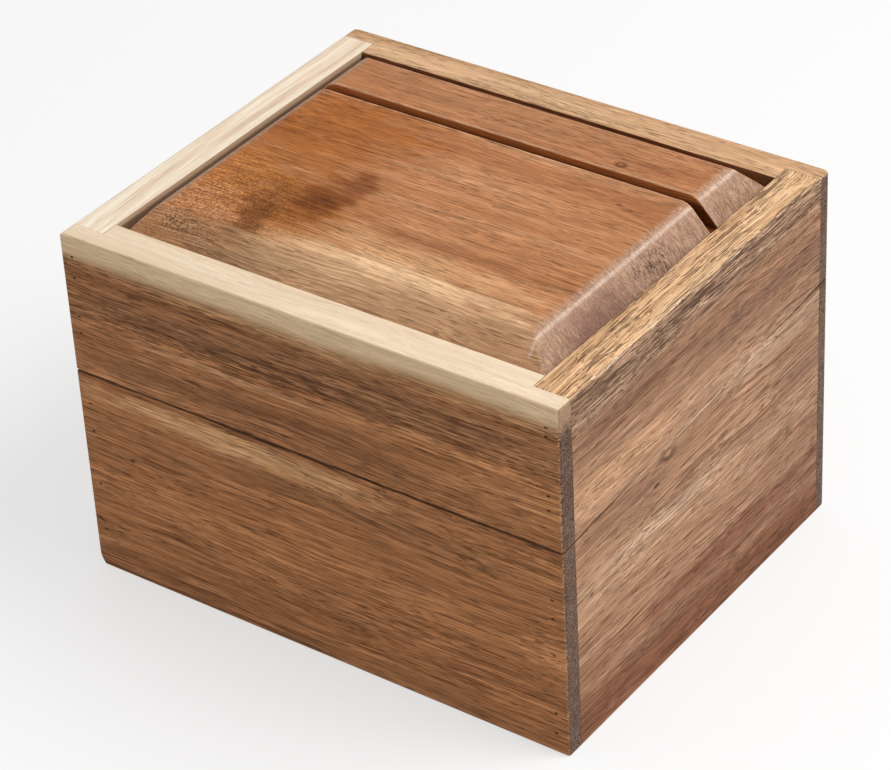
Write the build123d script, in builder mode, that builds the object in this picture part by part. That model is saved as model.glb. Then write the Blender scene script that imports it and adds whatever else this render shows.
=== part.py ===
from build123d import *
import math
import os

# Recipe box of solid wood. The four walls are nailed together as one closed box, which is then sawn
# apart on a slant into a base and a lid. The lid holds a raised panel with a slot for a card, and
# swings on two stop hinges let into the rear edges of the cut.
# Frame: origin at the middle of the underside, +X right, +Y to the back, +Z up, in millimetres.

# Outside of the wooden box
width = 184.15
depth = 152.4
height = 127.0

# Walls, and the lip that the end rabbets leave on the front and back boards
board = 12.7
corner_lip = 6.35
glue_line = 0.08

# The slanted cut between base and lid
front_cut_height = 76.2
back_cut_height = 88.9
closing_gap = 0.3

# Bottom panel, let in flush from below
bottom_thickness = 6.35
bottom_rabbet = 6.35
bottom_play = 0.3

# Raised panel of the lid: its field stands proud of the frame, its bevels run down into the grooves
panel_thickness = 15.9
field_rise = 6.0
bevel_width = 10.0
bevel_angle = 48.0
shoulder_radius = 6.0
hip_radius = 1.5
groove_depth = 6.35
groove_play = 0.15
panel_play = 0.5

# Card slot across the panel
slot_width = 4.0
slot_depth = 9.8
slot_from_back = 44.8
slot_ease = 0.35

# Eased edges of the boards
front_corner_radius = 1.0
back_corner_radius = 3.0
rim_radius = 0.8
left_rim_radius = 2.0
inner_rim_ease = 0.3
cut_ease = 0.5

# Feet: the lower edge is sanded to a slow curve on the left and rounded at the back
left_foot_height = 7.5
left_foot_inset = 2.7
back_foot_radius = 4.0

# Brads of flat wire with a T head. Their heights up each corner are uneven shares of the board.
brad_width = 0.75
brad_thickness = 0.65
brad_head_width = 1.1
brad_head_height = 0.5
brad_length = 24.0
brad_set = 0.4
brad_play = 0.03
brad_inset = 4.4
base_brad_shares = {"left": (0.20, 0.44, 0.71, 0.85), "right": (0.10, 0.20, 0.49, 0.67, 0.76)}
lid_brad_shares = {"left": (0.30, 0.42, 0.70, 0.85), "right": (0.28, 0.38, 0.79, 0.85)}
bottom_brad_length = 19.0
bottom_brads_along_front = 3
bottom_brads_along_side = 2
bottom_brad_spacing = 56.0

# Stop hinges: brass leaves, a barrel of three knuckles behind the back face, and heels that meet
# when the lid leans just past upright
open_angle = 95.0
stop_play_angle = 0.5
leaf_length = 25.0
leaf_width = 9.0
leaf_thickness = 1.6
leaf_play = 0.1
barrel_radius = 2.0
barrel_standoff = 0.3
knuckle_play = 0.15
heel_drop = 3.3
heel_inset = 1.2
pin_radius = 0.9
pin_play = 0.05
pin_overhang = 0.5
pin_chamfer = 0.3
hinge_from_side = 36.0

# Countersunk screws of the hinges
screw_radius = 1.0
screw_head_radius = 2.05
screw_length = 9.5
screw_play = 0.05
screw_spacing = 15.0
screw_from_barrel_side = 4.7
countersink_angle = 82.0

# Sizes that follow from the ones above
half_width = width / 2
half_depth = depth / 2
half_opening_x = half_width - board
half_opening_y = half_depth - board
field_top = height + field_rise
panel_bottom = field_top - panel_thickness
tongue_top = field_top - bevel_width * math.tan(math.radians(bevel_angle))
slot_y = half_depth - slot_from_back
cut_slant = math.degrees(math.atan2(back_cut_height - front_cut_height, depth))
hinge_x = half_width - hinge_from_side
barrel_reach = barrel_standoff + barrel_radius
knuckle_length = leaf_length / 3 - knuckle_play

# Directions along the slanted cut: towards the back, and square to it
along_cut = Vector(0, math.cos(math.radians(cut_slant)), math.sin(math.radians(cut_slant)))
off_cut = Vector(0, -along_cut.Z, along_cut.Y)
saw_line = Plane(origin=(0, half_depth, back_cut_height), x_dir=(1, 0, 0), z_dir=off_cut)
base_cut = saw_line.offset(-closing_gap / 2)
lid_cut = saw_line.offset(closing_gap / 2)
top_face = Plane.XY.offset(height)
underside = Plane.XY


# Eased edges: which edges of a board lie in a plane, and on the outside or inside of the box

def in_plane(edge, plane):
    """True for an edge that lies in the plane."""
    return all(abs(plane.to_local_coords(edge @ t).Z) < 0.01 for t in (0, 0.5, 1))


def is_outside(edge):
    """True for an edge whose middle lies on the outer walls or on a rounded corner between them."""
    corner_cut = back_corner_radius * (1 - math.sqrt(0.5)) + 0.01
    middle = edge @ 0.5
    return abs(middle.X) > half_width - corner_cut or abs(middle.Y) > half_depth - corner_cut


def is_inside(edge):
    """True for an edge whose middle lies on the inner walls."""
    middle = edge @ 0.5
    on_side = abs(abs(middle.X) - half_opening_x) < 0.01
    on_front_or_back = abs(abs(middle.Y) - half_opening_y) < 0.01
    return on_side or on_front_or_back


def outer_rim(part, plane):
    return part.edges().filter_by(lambda edge: in_plane(edge, plane) and is_outside(edge))


def inner_rim(part, plane):
    return part.edges().filter_by(lambda edge: in_plane(edge, plane) and is_inside(edge))


def upright_corners(part, face_y):
    return part.edges().filter_by(Axis.Z).filter_by(
        lambda edge: abs((edge @ 0.5).Y - face_y) < 0.01 and is_outside(edge)
    )


# Spaces that are cut out of all four walls

with BuildPart() as bottom_seat:
    Box(
        2 * (half_opening_x + bottom_rabbet),
        2 * (half_opening_y + bottom_rabbet),
        bottom_thickness,
        align=(Align.CENTER, Align.CENTER, Align.MIN),
    )

with BuildPart(Plane.XY.offset(panel_bottom)) as panel_groove:
    Box(
        2 * (half_opening_x + groove_depth),
        2 * (half_opening_y + groove_depth),
        tongue_top + groove_play - panel_bottom,
        align=(Align.CENTER, Align.CENTER, Align.MIN),
    )


# Sanding passes that are taken off all walls: the two feet, and the upper edge on the left

def sanding_pass(plane, start, end, side_length):
    """Waste outside a curve that leaves the wall at start and meets the level face at end."""
    with BuildPart() as waste:
        with BuildSketch(plane):
            with BuildLine():
                TangentArc(start, end, tangent=(0, end[1] - start[1]))
                Polyline(end, (2 * start[0] - end[0], end[1]), (2 * start[0] - end[0], start[1]), start)
            make_face()
        extrude(amount=side_length, both=True)
    return waste.part


left_foot_waste = sanding_pass(
    Plane.XZ,
    (-half_width, left_foot_height),
    (-half_width + left_foot_inset, 0),
    depth,
)
back_foot_waste = sanding_pass(
    Plane.YZ,
    (half_depth, back_foot_radius),
    (half_depth - back_foot_radius, 0),
    width,
)
left_rim_waste = sanding_pass(
    Plane.XZ,
    (-half_width, height - left_rim_radius),
    (-half_width + left_rim_radius, height),
    depth,
)


# The walls before the cut. The front and back boards run the full width, with a rabbet behind each
# end; the side boards end in those rabbets.

with BuildPart() as front_wall:
    with BuildSketch():
        with BuildLine():
            Polyline(
                (0, -half_depth),
                (half_width, -half_depth),
                (half_width, -half_depth + corner_lip),
                (half_opening_x, -half_depth + corner_lip),
                (half_opening_x, -half_opening_y),
                (0, -half_opening_y),
            )
            mirror(about=Plane.YZ)
        make_face()
    extrude(amount=height)
    fillet(upright_corners(front_wall, -half_depth), front_corner_radius)
    add(bottom_seat.part, mode=Mode.SUBTRACT)
    add(panel_groove.part, mode=Mode.SUBTRACT)

with BuildPart() as back_wall:
    with BuildSketch():
        with BuildLine():
            Polyline(
                (0, half_depth),
                (half_width, half_depth),
                (half_width, half_depth - corner_lip),
                (half_opening_x, half_depth - corner_lip),
                (half_opening_x, half_opening_y),
                (0, half_opening_y),
            )
            mirror(about=Plane.YZ)
        make_face()
    extrude(amount=height)
    fillet(upright_corners(back_wall, half_depth), back_corner_radius)
    add(bottom_seat.part, mode=Mode.SUBTRACT)
    add(panel_groove.part, mode=Mode.SUBTRACT)

with BuildPart() as right_wall:
    with BuildSketch():
        with Locations((half_width - board / 2, 0)):
            Rectangle(board, depth - 2 * (corner_lip + glue_line))
    extrude(amount=height)
    add(bottom_seat.part, mode=Mode.SUBTRACT)
    add(panel_groove.part, mode=Mode.SUBTRACT)

with BuildPart() as left_wall:
    mirror(right_wall.part, about=Plane.YZ)


# Where the brads go: planes on the outer face of the front or back wall, facing outwards

def cut_height(y):
    """Height of the saw line at a distance y from the middle of the box."""
    return back_cut_height + (y - half_depth) * math.tan(math.radians(cut_slant))


def brad_places(face_y, shares, low, high):
    """One plane for each brad of the two corners of a wall."""
    outwards = (0, math.copysign(1, face_y), 0)
    places = []
    for side, x in (("left", -half_width + brad_inset), ("right", half_width - brad_inset)):
        for share in shares[side]:
            z = low + share * (high - low)
            places.append(Plane(origin=(x, face_y, z), x_dir=(1, 0, 0), z_dir=outwards))
    return places


def on_side(places, x_sign):
    return [place for place in places if place.origin.X * x_sign > 0]


base_front_places = brad_places(-half_depth, base_brad_shares, 0, cut_height(-half_depth))
base_back_places = brad_places(half_depth, base_brad_shares, 0, cut_height(half_depth))
lid_front_places = brad_places(-half_depth, lid_brad_shares, cut_height(-half_depth), height)
lid_back_places = brad_places(half_depth, lid_brad_shares, cut_height(half_depth), height)

bottom_brad_places = []
seat_middle = board - bottom_rabbet / 2
for y_sign in (-1, 1):
    for step in range(bottom_brads_along_front):
        x = (step - (bottom_brads_along_front - 1) / 2) * bottom_brad_spacing
        bottom_brad_places.append((x, y_sign * (half_depth - seat_middle)))
for x_sign in (-1, 1):
    for step in range(bottom_brads_along_side):
        y = (step - (bottom_brads_along_side - 1) / 2) * bottom_brad_spacing
        bottom_brad_places.append((x_sign * (half_width - seat_middle), y))
bottom_brad_planes = [
    Plane(origin=(x, y, 0), x_dir=(1, 0, 0), z_dir=(0, 0, -1)) for x, y in bottom_brad_places
]


def brad_hole(width_here, hole_depth):
    """Space for a brad's head or shank, from the wooden face inwards."""
    Box(
        width_here + 2 * brad_play,
        brad_thickness + 2 * brad_play,
        hole_depth,
        align=(Align.CENTER, Align.CENTER, Align.MAX),
        mode=Mode.SUBTRACT,
    )


def cut_head_holes(places, length):
    """Holes that the brads leave in the piece that they hold, where their heads are set in."""
    with Locations(*places):
        brad_hole(brad_head_width, brad_set + brad_head_height)
        brad_hole(brad_width, brad_set + length)


def cut_shank_holes(places, length):
    """Holes that the shanks of the same brads make in the piece behind."""
    with Locations(*places):
        brad_hole(brad_width, brad_set + length)


# Hinge frames: x runs along the barrel, y along the cut towards the back, z square to the cut

def hinge_frame(x):
    return Plane(origin=(x, half_depth, back_cut_height), x_dir=(1, 0, 0), z_dir=off_cut)


def screw_planes(frame, side):
    """Planes on a leaf's face in the closing gap, facing the gap; side is -1 for base, 1 for lid."""
    planes = []
    for along in (-screw_spacing / 2, screw_spacing / 2):
        spot = frame.from_local_coords((along, -screw_from_barrel_side, side * closing_gap / 2))
        planes.append(Plane(origin=spot, x_dir=(1, 0, 0), z_dir=off_cut * -side))
    return planes


def cut_leaf_seats(side):
    """Mortises for the two leaves in a rear edge, open at the back, and holes for their screws."""
    seat_run = leaf_width + leaf_play
    seat_depth = closing_gap / 2 + leaf_thickness
    for x in (-hinge_x, hinge_x):
        frame = hinge_frame(x)
        middle = (0, (barrel_reach - seat_run) / 2, side * seat_depth / 2)
        seat = Plane(origin=frame.from_local_coords(middle), x_dir=(1, 0, 0), z_dir=off_cut)
        with Locations(seat):
            Box(
                leaf_length + 2 * leaf_play,
                seat_run + barrel_reach,
                seat_depth,
                mode=Mode.SUBTRACT,
            )
        with Locations(*screw_planes(frame, side)):
            Hole(radius=screw_radius + screw_play / 2, depth=screw_length + screw_play)


# Boards of the base

with BuildPart() as base_front_board:
    add(front_wall.part)
    split(bisect_by=base_cut, keep=Keep.BOTTOM)
    chamfer(outer_rim(base_front_board, base_cut), cut_ease)
    fillet(outer_rim(base_front_board, underside), rim_radius)
    add(left_foot_waste, mode=Mode.SUBTRACT)
    cut_head_holes(base_front_places, brad_length)
    cut_shank_holes(bottom_brad_planes, bottom_brad_length)
base_front_board.part.label = "base_front_board"

with BuildPart() as base_back_board:
    add(back_wall.part)
    split(bisect_by=base_cut, keep=Keep.BOTTOM)
    chamfer(outer_rim(base_back_board, base_cut), cut_ease)
    fillet(outer_rim(base_back_board, underside), rim_radius)
    add(left_foot_waste, mode=Mode.SUBTRACT)
    add(back_foot_waste, mode=Mode.SUBTRACT)
    cut_head_holes(base_back_places, brad_length)
    cut_shank_holes(bottom_brad_planes, bottom_brad_length)
    cut_leaf_seats(-1)
base_back_board.part.label = "base_back_board"

with BuildPart() as base_left_board:
    add(left_wall.part)
    split(bisect_by=base_cut, keep=Keep.BOTTOM)
    chamfer(outer_rim(base_left_board, base_cut), cut_ease)
    fillet(outer_rim(base_left_board, underside), rim_radius)
    add(left_foot_waste, mode=Mode.SUBTRACT)
    cut_shank_holes(on_side(base_front_places + base_back_places, -1), brad_length)
    cut_shank_holes(bottom_brad_planes, bottom_brad_length)
base_left_board.part.label = "base_left_board"

with BuildPart() as base_right_board:
    add(right_wall.part)
    split(bisect_by=base_cut, keep=Keep.BOTTOM)
    chamfer(outer_rim(base_right_board, base_cut), cut_ease)
    fillet(outer_rim(base_right_board, underside), rim_radius)
    cut_shank_holes(on_side(base_front_places + base_back_places, 1), brad_length)
    cut_shank_holes(bottom_brad_planes, bottom_brad_length)
base_right_board.part.label = "base_right_board"

with BuildPart() as base_bottom_panel:
    Box(
        2 * (half_opening_x + bottom_rabbet - bottom_play),
        2 * (half_opening_y + bottom_rabbet - bottom_play),
        bottom_thickness,
        align=(Align.CENTER, Align.CENTER, Align.MIN),
    )
    cut_head_holes(bottom_brad_planes, bottom_brad_length)
base_bottom_panel.part.label = "base_bottom_panel"


# Boards of the lid

with BuildPart() as lid_front_board:
    add(front_wall.part)
    split(bisect_by=lid_cut, keep=Keep.TOP)
    chamfer(outer_rim(lid_front_board, lid_cut), cut_ease)
    fillet(outer_rim(lid_front_board, top_face), rim_radius)
    add(left_rim_waste, mode=Mode.SUBTRACT)
    fillet(inner_rim(lid_front_board, top_face), inner_rim_ease)
    cut_head_holes(lid_front_places, brad_length)
lid_front_board.part.label = "lid_front_board"

with BuildPart() as lid_back_board:
    add(back_wall.part)
    split(bisect_by=lid_cut, keep=Keep.TOP)
    chamfer(outer_rim(lid_back_board, lid_cut), cut_ease)
    fillet(outer_rim(lid_back_board, top_face), rim_radius)
    add(left_rim_waste, mode=Mode.SUBTRACT)
    fillet(inner_rim(lid_back_board, top_face), inner_rim_ease)
    cut_head_holes(lid_back_places, brad_length)
    cut_leaf_seats(1)
lid_back_board.part.label = "lid_back_board"

with BuildPart() as lid_left_board:
    add(left_wall.part)
    split(bisect_by=lid_cut, keep=Keep.TOP)
    chamfer(outer_rim(lid_left_board, lid_cut), cut_ease)
    fillet(outer_rim(lid_left_board, top_face), rim_radius)
    add(left_rim_waste, mode=Mode.SUBTRACT)
    fillet(inner_rim(lid_left_board, top_face), inner_rim_ease)
    cut_shank_holes(on_side(lid_front_places + lid_back_places, -1), brad_length)
lid_left_board.part.label = "lid_left_board"

with BuildPart() as lid_right_board:
    add(right_wall.part)
    split(bisect_by=lid_cut, keep=Keep.TOP)
    chamfer(outer_rim(lid_right_board, lid_cut), cut_ease)
    fillet(outer_rim(lid_right_board, top_face), rim_radius)
    fillet(inner_rim(lid_right_board, top_face), inner_rim_ease)
    cut_shank_holes(on_side(lid_front_places + lid_back_places, 1), brad_length)
lid_right_board.part.label = "lid_right_board"


# Raised panel: the same moulded section is run along both directions, and what both leave is a
# field with four bevels that meet in hips

def raised_section(half_opening):
    """Corners of the panel's section, from the middle of its underside round to the field."""
    tongue_end = half_opening + groove_depth - panel_play
    return (
        (0, panel_bottom),
        (tongue_end, panel_bottom),
        (tongue_end, tongue_top),
        (half_opening, tongue_top),
        (half_opening - bevel_width, field_top),
        (0, field_top),
    )


def is_hip(edge):
    """True for the ridges where two bevels meet, running aslant down to the tongue."""
    run = edge @ 1 - edge @ 0
    return min(abs(run.X), abs(run.Y), abs(run.Z)) > 0.1


def is_slot_mouth(edge):
    """True for the upper edges of the slot's two sides, on the field and down both bevels."""
    middle = edge @ 0.5
    on_side = abs(abs(middle.Y - slot_y) - slot_width / 2) < 0.01
    runs_across = abs((edge @ 1 - edge @ 0).X) > 0.1
    return on_side and runs_across and middle.Z > field_top - slot_depth + 0.01


with BuildPart() as lid_raised_panel:
    with BuildSketch(Plane.XZ) as section_across:
        with BuildLine():
            Polyline(*raised_section(half_opening_x))
            mirror(about=Plane.YZ)
        make_face()
        top_corners = section_across.vertices().group_by(Axis.Y)[-1].sort_by(Axis.X)
        fillet((top_corners[0], top_corners[-1]), shoulder_radius)
    extrude(amount=half_depth, both=True)
    with BuildSketch(Plane.YZ) as section_along:
        with BuildLine():
            Polyline(*raised_section(half_opening_y))
            mirror(about=Plane.YZ)
        make_face()
        top_corners = section_along.vertices().group_by(Axis.Y)[-1].sort_by(Axis.X)
        fillet((top_corners[0], top_corners[-1]), shoulder_radius)
    extrude(amount=half_width, both=True, mode=Mode.INTERSECT)
    fillet(lid_raised_panel.edges().filter_by(is_hip), hip_radius)
    with Locations((0, slot_y, field_top)):
        Box(
            width,
            slot_width,
            slot_depth,
            align=(Align.CENTER, Align.CENTER, Align.MAX),
            mode=Mode.SUBTRACT,
        )
    chamfer(lid_raised_panel.edges().filter_by(is_slot_mouth), slot_ease)
lid_raised_panel.part.label = "lid_raised_panel"


# Brads. Each stands on its plane, with its head set below the face and its shank running in.

def brad_piece(width_here, piece_length):
    Box(
        width_here,
        brad_thickness,
        piece_length,
        align=(Align.CENTER, Align.CENTER, Align.MAX),
    )


def drive_brads(places, length):
    for place in places:
        with Locations(place.offset(-brad_set)):
            brad_piece(brad_head_width, brad_head_height)
            brad_piece(brad_width, length)


with BuildPart() as base_front_brads:
    drive_brads(base_front_places, brad_length)
base_front_brads.part.label = "base_front_brads"

with BuildPart() as base_back_brads:
    drive_brads(base_back_places, brad_length)
base_back_brads.part.label = "base_back_brads"

with BuildPart() as lid_front_brads:
    drive_brads(lid_front_places, brad_length)
lid_front_brads.part.label = "lid_front_brads"

with BuildPart() as lid_back_brads:
    drive_brads(lid_back_places, brad_length)
lid_back_brads.part.label = "lid_back_brads"

with BuildPart() as bottom_panel_brads:
    drive_brads(bottom_brad_planes, bottom_brad_length)
bottom_panel_brads.part.label = "bottom_panel_brads"


# Stop hinges. A leaf is a plate in its mortise, its share of the barrel, and a heel outside the
# barrel. The stop faces of the two heels stand the opening angle apart while the lid is closed.

def barrel_axis(side_plane):
    """The same section plane with its origin on the pin's axis."""
    return Plane(
        origin=side_plane.from_local_coords((barrel_reach, 0, 0)),
        x_dir=side_plane.x_dir,
        z_dir=side_plane.z_dir,
    )


def heel_outline(side):
    """Heel section seen along the barrel, measured from the pin's axis."""
    stop_angle = math.radians((open_angle + stop_play_angle) / 2)
    return (
        (0, 0),
        (heel_drop / math.tan(stop_angle), side * heel_drop),
        (-heel_inset, side * heel_drop),
        (-heel_inset, 0),
    )


def plate_middle(side):
    return (
        (barrel_reach - leaf_width) / 2,
        side * (closing_gap + leaf_thickness) / 2,
    )


hinge_section = Plane(origin=(0, half_depth, back_cut_height), x_dir=along_cut, z_dir=(1, 0, 0))
pin_section = barrel_axis(hinge_section)
knuckle_pitch = leaf_length / 3

with BuildPart() as base_leaf:
    with BuildSketch(hinge_section):
        with Locations(plate_middle(-1)):
            Rectangle(leaf_width + barrel_reach, leaf_thickness)
    extrude(amount=leaf_length / 2, both=True)
    with BuildSketch(pin_section):
        Circle(barrel_radius)
        with BuildLine():
            Polyline(*heel_outline(-1), close=True)
        make_face()
    extrude(amount=leaf_length / 2, both=True)
    with BuildSketch(pin_section):
        Circle(barrel_radius + knuckle_play)
    extrude(amount=knuckle_pitch / 2, both=True, mode=Mode.SUBTRACT)
    with BuildSketch(pin_section):
        Circle(pin_radius + pin_play / 2)
    extrude(amount=leaf_length, both=True, mode=Mode.SUBTRACT)
    with Locations(*screw_planes(hinge_frame(0), -1)):
        CounterSinkHole(
            radius=screw_radius + screw_play,
            counter_sink_radius=screw_head_radius + screw_play,
            counter_sink_angle=countersink_angle,
        )

with BuildPart() as lid_leaf:
    with BuildSketch(hinge_section):
        with Locations(plate_middle(1)):
            Rectangle(leaf_width + barrel_reach, leaf_thickness)
    extrude(amount=leaf_length / 2, both=True)
    with BuildSketch(pin_section):
        Circle(barrel_radius)
        with BuildLine():
            Polyline(*heel_outline(1), close=True)
        make_face()
    extrude(amount=leaf_length / 2, both=True)
    outer_knuckles = (pin_section.offset(-knuckle_pitch), pin_section.offset(knuckle_pitch))
    with BuildSketch(*outer_knuckles):
        Circle(barrel_radius + knuckle_play)
    extrude(amount=knuckle_pitch / 2 + knuckle_play, both=True, mode=Mode.SUBTRACT)
    with BuildSketch(pin_section):
        Circle(pin_radius + pin_play)
    extrude(amount=leaf_length, both=True, mode=Mode.SUBTRACT)
    with Locations(*screw_planes(hinge_frame(0), 1)):
        CounterSinkHole(
            radius=screw_radius + screw_play,
            counter_sink_radius=screw_head_radius + screw_play,
            counter_sink_angle=countersink_angle,
        )

with BuildPart(pin_section) as hinge_pin:
    Cylinder(pin_radius, leaf_length + 2 * pin_overhang)
    chamfer(hinge_pin.edges().filter_by(GeomType.CIRCLE), pin_chamfer)

with BuildPart() as base_hinge_leaf_left:
    with Locations((-hinge_x, 0, 0)):
        add(base_leaf.part)
base_hinge_leaf_left.part.label = "base_hinge_leaf_left"

with BuildPart() as base_hinge_leaf_right:
    with Locations((hinge_x, 0, 0)):
        add(base_leaf.part)
base_hinge_leaf_right.part.label = "base_hinge_leaf_right"

with BuildPart() as lid_hinge_leaf_left:
    with Locations((-hinge_x, 0, 0)):
        add(lid_leaf.part)
lid_hinge_leaf_left.part.label = "lid_hinge_leaf_left"

with BuildPart() as lid_hinge_leaf_right:
    with Locations((hinge_x, 0, 0)):
        add(lid_leaf.part)
lid_hinge_leaf_right.part.label = "lid_hinge_leaf_right"

with BuildPart() as hinge_pin_left:
    with Locations((-hinge_x, 0, 0)):
        add(hinge_pin.part)
hinge_pin_left.part.label = "hinge_pin_left"

with BuildPart() as hinge_pin_right:
    with Locations((hinge_x, 0, 0)):
        add(hinge_pin.part)
hinge_pin_right.part.label = "hinge_pin_right"


# Countersunk screws. One is turned upright, and set in at each place.

head_height = (screw_head_radius - screw_radius) / math.tan(math.radians(countersink_angle / 2))
with BuildPart() as leaf_screw:
    with BuildSketch(Plane.XZ):
        with BuildLine():
            Polyline(
                (0, 0),
                (screw_head_radius, 0),
                (screw_radius, -head_height),
                (screw_radius, -screw_length),
                (0, -screw_length),
                close=True,
            )
        make_face()
    revolve(axis=Axis.Z)

with BuildPart() as base_leaf_screws:
    for x in (-hinge_x, hinge_x):
        with Locations(*screw_planes(hinge_frame(x), -1)):
            add(leaf_screw.part)
base_leaf_screws.part.label = "base_leaf_screws"

with BuildPart() as lid_leaf_screws:
    for x in (-hinge_x, hinge_x):
        with Locations(*screw_planes(hinge_frame(x), 1)):
            add(leaf_screw.part)
lid_leaf_screws.part.label = "lid_leaf_screws"


pieces = (
    base_front_board,
    base_back_board,
    base_left_board,
    base_right_board,
    base_bottom_panel,
    lid_front_board,
    lid_back_board,
    lid_left_board,
    lid_right_board,
    lid_raised_panel,
    base_front_brads,
    base_back_brads,
    lid_front_brads,
    lid_back_brads,
    bottom_panel_brads,
    base_hinge_leaf_left,
    base_hinge_leaf_right,
    lid_hinge_leaf_left,
    lid_hinge_leaf_right,
    hinge_pin_left,
    hinge_pin_right,
    base_leaf_screws,
    lid_leaf_screws,
)

os.makedirs("parts", exist_ok=True)
for piece in pieces:
    export_step(piece.part, f"parts/{piece.part.label}.step")
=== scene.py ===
import bmesh
import bpy
import math
from mathutils import Matrix, Vector


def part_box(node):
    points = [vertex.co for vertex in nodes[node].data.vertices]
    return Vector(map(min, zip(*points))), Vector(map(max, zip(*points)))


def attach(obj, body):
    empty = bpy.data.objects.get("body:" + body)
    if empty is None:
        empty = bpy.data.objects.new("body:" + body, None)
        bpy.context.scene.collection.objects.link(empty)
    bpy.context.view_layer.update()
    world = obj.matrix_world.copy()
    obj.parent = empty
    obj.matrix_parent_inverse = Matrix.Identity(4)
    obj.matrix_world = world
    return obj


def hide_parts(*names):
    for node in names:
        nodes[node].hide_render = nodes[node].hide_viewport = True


# The box as it comes from the workshop, already in place: every board, brad and hinge leaf is here,
# and each section below gives one kind of piece its finish. Lengths in the sections are in
# millimetres, because that is how a joiner measures them.
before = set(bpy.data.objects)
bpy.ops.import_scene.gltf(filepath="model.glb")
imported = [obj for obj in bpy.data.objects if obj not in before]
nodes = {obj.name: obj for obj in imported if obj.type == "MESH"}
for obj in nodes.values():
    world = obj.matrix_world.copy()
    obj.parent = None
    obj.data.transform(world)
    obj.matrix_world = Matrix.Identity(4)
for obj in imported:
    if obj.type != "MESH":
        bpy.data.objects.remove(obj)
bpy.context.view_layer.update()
mm = 0.001


# Front boards of base and lid. One flat-sawn acacia board runs the full width of the front, grain
# along it. Its upper edge is pale sapwood; below, brown heartwood with long dark pores. The board
# was sawn apart on a slant after the box was glued, so the figure runs on across the cut.

board_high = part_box("base_front_board")[1] / mm
lid_low, lid_high = (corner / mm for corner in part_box("lid_front_board"))
half_width = lid_high.x
front_y = lid_low.y
back_y = (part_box("lid_back_board")[1] / mm).y
box_height = lid_high.z
# The saw cut climbs about this much through the thickness of the front board.
climb_in_board = 1.0
cut_front = (board_high.z + lid_low.z - climb_in_board) / 2
cut_back = (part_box("base_back_board")[1] / mm).z


def add_node(tree, kind, links=None, **settings):
    """Adds a node, sets what it is given, and joins or fills its sockets by name or number."""
    made = tree.nodes.new(kind)
    for name, value in settings.items():
        setattr(made, name, value)
    for socket, value in (links or {}).items():
        if isinstance(value, bpy.types.NodeSocket):
            tree.links.new(value, made.inputs[socket])
        else:
            made.inputs[socket].default_value = value
    return made


def calc(tree, operation, first, second=0.0, third=0.0):
    """One sum on numbers."""
    made = add_node(tree, "ShaderNodeMath", {0: first, 1: second, 2: third}, operation=operation)
    return made.outputs[0]


def times(tree, first, second):
    """Two numbers or masks multiplied."""
    return calc(tree, "MULTIPLY", first, second)


def vector_calc(tree, operation, first, second=(0.0, 0.0, 0.0)):
    """One sum on vectors."""
    made = add_node(tree, "ShaderNodeVectorMath", {0: first, 1: second}, operation=operation)
    return made.outputs["Value" if operation in ("LENGTH", "DOT_PRODUCT") else "Vector"]


def lengthen(tree, vector, amount):
    """A vector multiplied by a number."""
    return add_node(tree, "ShaderNodeVectorMath", {0: vector, 3: amount}, operation="SCALE").outputs[0]


def stretch(tree, value, low, high, out_low=0.0, out_high=1.0, smooth=False):
    """Spreads the part of a value between low and high over a new range, and holds the rest."""
    shape = "SMOOTHSTEP" if smooth else "LINEAR"
    links = {"Value": value, 1: low, 2: high, 3: out_low, 4: out_high}
    return add_node(tree, "ShaderNodeMapRange", links, interpolation_type=shape).outputs[0]


def blend_colour(tree, amount, first, second, how="MIX"):
    """Mixes two colours. The amount may be a mask."""
    links = {0: amount, 6: first, 7: second}
    return add_node(tree, "ShaderNodeMix", links, data_type="RGBA", blend_type=how).outputs[2]


def calmed(tree, amount, pattern):
    """Holds a pattern back towards its middle, as strongly as the mask says."""
    return blend_colour(tree, amount, pattern, (0.5, 0.5, 0.5, 1))


def colour_steps(tree, value, steps):
    """A colour for each value, through the steps (place, red, green, blue)."""
    ramp = add_node(tree, "ShaderNodeValToRGB", {0: value})
    band = ramp.color_ramp
    while len(band.elements) < len(steps):
        band.elements.new(0.5)
    for element, (place, red, green, blue) in zip(band.elements, steps):
        element.position = place
        element.color = (red, green, blue, 1)
    return ramp.outputs[0]


def noise(tree, place, fineness, detail=4.0, roughness=0.55):
    """Soft noise, mostly from 0.3 to 0.7. The fineness is given for each axis; grain has a low one
    along the board."""
    drawn_out = vector_calc(tree, "MULTIPLY", place, fineness)
    links = {"Vector": drawn_out, "Scale": 1.0, "Detail": detail, "Roughness": roughness}
    return add_node(tree, "ShaderNodeTexNoise", links).outputs[0]


def new_group(name, wanted, given):
    """An empty node group with its named inputs and outputs."""
    group = bpy.data.node_groups.new(name, "ShaderNodeTree")
    for label, kind in wanted:
        group.interface.new_socket(label, in_out="INPUT", socket_type="NodeSocket" + kind)
    for label in given:
        group.interface.new_socket(label, in_out="OUTPUT", socket_type="NodeSocketFloat")
    entry = group.nodes.new("NodeGroupInput")
    leave = group.nodes.new("NodeGroupOutput")
    return group, entry.outputs, leave.inputs


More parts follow.
